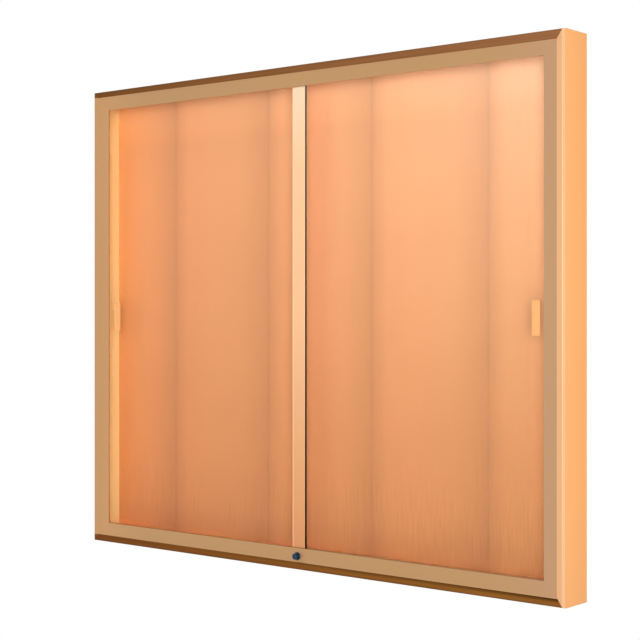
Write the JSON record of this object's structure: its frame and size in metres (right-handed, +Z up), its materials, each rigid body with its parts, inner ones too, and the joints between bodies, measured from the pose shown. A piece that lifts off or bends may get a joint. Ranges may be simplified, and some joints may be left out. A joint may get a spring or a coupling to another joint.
{
  "type": "lockable notice board",
  "caption": "Wall-hung notice board in a gold aluminium frame, with bypassing sliding glass doors on rollers, a fabric pinboard and a push lock in the bottom rail.",
  "frame": {"origin": "middle of the back face, where the case meets the wall", "axes": "+X to the right as seen from the front, +Y back into the wall, +Z up"},
  "size_m": [1.2, 0.0824, 1],
  "materials": {
    "frame_aluminium": "satin anodised, champagne gold",
    "door_aluminium": "satin anodised, champagne gold",
    "pull_aluminium": "satin anodised, champagne gold",
    "track_aluminium": "mill finish, anodised",
    "key_aluminium": "cast",
    "door_glass": "clear float glass",
    "board_fabric": "woven, matt",
    "fibreboard": "soft fibreboard",
    "hardboard": "smooth hardboard",
    "plated_steel": "zinc plated",
    "spring_steel": "blackened",
    "nylon": "moulded",
    "glazing_vinyl": "soft vinyl",
    "pile": "brush pile",
    "bumper_rubber": "moulded",
    "lock_metal": "dark polished plating"
  },
  "bodies": {
    "case": {"back_screws": "plated_steel", "back_sheet": "hardboard", "corner_key_bottom_left": "key_aluminium", "corner_key_bottom_right": "key_aluminium", "corner_key_top_left": "key_aluminium", "corner_key_top_right": "key_aluminium", "end_bumpers": "bumper_rubber", "frame_bottom": "frame_aluminium", "frame_left": "frame_aluminium", "frame_right": "frame_aluminium", "frame_top": "frame_aluminium", "hanger_plates": "plated_steel", "hanger_rivets": "plated_steel", "left_jamb_seal": "pile", "lock_housing": "lock_metal", "lock_ring": "spring_steel", "lower_track": "track_aluminium", "lower_track_screws": "plated_steel", "pinboard_core": "fibreboard", "pinboard_fabric": "board_fabric", "right_jamb_seal": "pile", "upper_track": "track_aluminium", "upper_track_screws": "plated_steel"},
    "left_door": {"left_axles": "plated_steel", "left_finger_pull": "pull_aluminium", "left_foot_screw": "plated_steel", "left_glass": "door_glass", "left_glazing_strip": "glazing_vinyl", "left_meeting_stile": "door_aluminium", "left_shoe": "door_aluminium", "left_stile_cap": "nylon", "left_stile_foot": "nylon", "left_top_guides": "nylon", "meeting_seal": "pile"},
    "right_door": {"right_axles": "plated_steel", "right_edge_stile": "door_aluminium", "right_finger_pull": "pull_aluminium", "right_foot_screw": "plated_steel", "right_glass": "door_glass", "right_glazing_strip": "glazing_vinyl", "right_shoe": "door_aluminium", "right_stile_cap": "nylon", "right_stile_foot": "nylon", "right_top_guides": "nylon"},
    "left_meeting_wheel": {"left_meeting_wheel": "nylon"},
    "left_outer_wheel": {"left_outer_wheel": "nylon"},
    "right_meeting_wheel": {"right_meeting_wheel": "nylon"},
    "right_outer_wheel": {"right_outer_wheel": "nylon"},
    "lock_plunger": {"lock_plunger": "lock_metal"},
    "lock_plug": {"lock_plug": "lock_metal"}
  },
  "joints": [
    {"name": "left_door_slide", "type": "slide", "parent": "case", "child": "left_door", "axis": [1, 0, 0], "range_m": [0, 0.576]},
    {"name": "right_door_slide", "type": "slide", "parent": "case", "child": "right_door", "axis": [1, 0, 0], "range_m": [-0.562, 0]},
    {"name": "left_outer_wheel_roll", "type": "hinge", "parent": "left_door", "child": "left_outer_wheel", "pos_m": [-0.525, -0.0667, -0.47695], "axis": [0, 1, 0], "range_deg": [0, 7334]},
    {"name": "left_meeting_wheel_roll", "type": "hinge", "parent": "left_door", "child": "left_meeting_wheel", "pos_m": [-0.051, -0.0667, -0.47695], "axis": [0, 1, 0], "range_deg": [0, 7334]},
    {"name": "right_outer_wheel_roll", "type": "hinge", "parent": "right_door", "child": "right_outer_wheel", "pos_m": [0.525, -0.0591, -0.47695], "axis": [0, 1, 0], "range_deg": [-7156, 0]},
    {"name": "right_meeting_wheel_roll", "type": "hinge", "parent": "right_door", "child": "right_meeting_wheel", "pos_m": [0.037, -0.0591, -0.47695], "axis": [0, 1, 0], "range_deg": [-7156, 0]},
    {"name": "lock_push", "type": "slide", "parent": "case", "child": "lock_plunger", "axis": [0, 1, 0], "range_m": [0, 0.0098], "stiffness_N_per_m": 150},
    {"name": "key_turn", "type": "hinge", "parent": "lock_plunger", "child": "lock_plug", "pos_m": [-0.007, -0.08, -0.4735], "axis": [0, 1, 0], "range_deg": [0, 90]}
  ],
  "couplings": [
    {"joint": "left_outer_wheel_roll", "follows": "left_door_slide", "rad_per_m": 222.22},
    {"joint": "left_meeting_wheel_roll", "follows": "left_door_slide", "rad_per_m": 222.22},
    {"joint": "right_outer_wheel_roll", "follows": "right_door_slide", "rad_per_m": 222.22},
    {"joint": "right_meeting_wheel_roll", "follows": "right_door_slide", "rad_per_m": 222.22}
  ]
}
